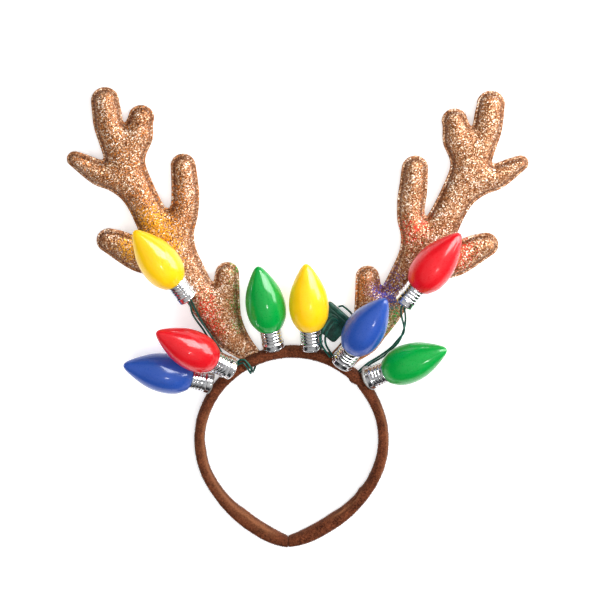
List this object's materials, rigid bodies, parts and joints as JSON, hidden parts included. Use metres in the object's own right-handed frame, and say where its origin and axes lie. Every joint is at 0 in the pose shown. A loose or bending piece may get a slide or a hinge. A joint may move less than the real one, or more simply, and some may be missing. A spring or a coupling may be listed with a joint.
{
  "type": "reindeer antler headband",
  "caption": "Plush covered headband with stuffed glitter fabric antlers, coloured light bulbs in chromed screw bases, a small battery box and thin wires.",
  "frame": {"origin": "centre of the footprint's bounding box, on the floor that the headband lies on", "axes": "+Y from the band's open end to the antlers' tips, +X to the viewer's right when the front is seen, +Z off the floor, out of the front"},
  "size_m": [0.3057, 0.3138, 0.0447],
  "materials": {
    "plush": "short brown plush",
    "glitter_fabric": "rose gold glitter cloth",
    "chromed_base": "bright plated",
    "red_bulb": "clear red gloss",
    "green_bulb": "clear green gloss",
    "blue_bulb": "clear blue gloss",
    "yellow_bulb": "clear yellow gloss",
    "box_plastic": "dark green satin",
    "wire": "dark green smooth"
  },
  "bodies": {
    "root": {"headband": "plush", "antler_left": "glitter_fabric", "antler_right": "glitter_fabric", "base_blue_left": "chromed_base", "glass_blue_left": "blue_bulb", "base_red_left": "chromed_base", "glass_red_left": "red_bulb", "base_green_centre": "chromed_base", "glass_green_centre": "green_bulb", "base_yellow_centre": "chromed_base", "glass_yellow_centre": "yellow_bulb", "base_blue_right": "chromed_base", "glass_blue_right": "blue_bulb", "base_green_right": "chromed_base", "glass_green_right": "green_bulb", "base_yellow_left": "chromed_base", "glass_yellow_left": "yellow_bulb", "base_red_right": "chromed_base", "glass_red_right": "red_bulb", "box_body": "box_plastic", "box_lid": "box_plastic", "wire_left_outer": "wire", "wire_left_inner": "wire", "wire_right_inner": "wire", "wire_right_outer": "wire", "wire_foot_loop_upper": "wire", "wire_foot_loop_lower": "wire", "wire_box_back": "wire", "wire_box_loop_outer": "wire", "wire_box_loop_inner": "wire"}
  },
  "joints": []
}
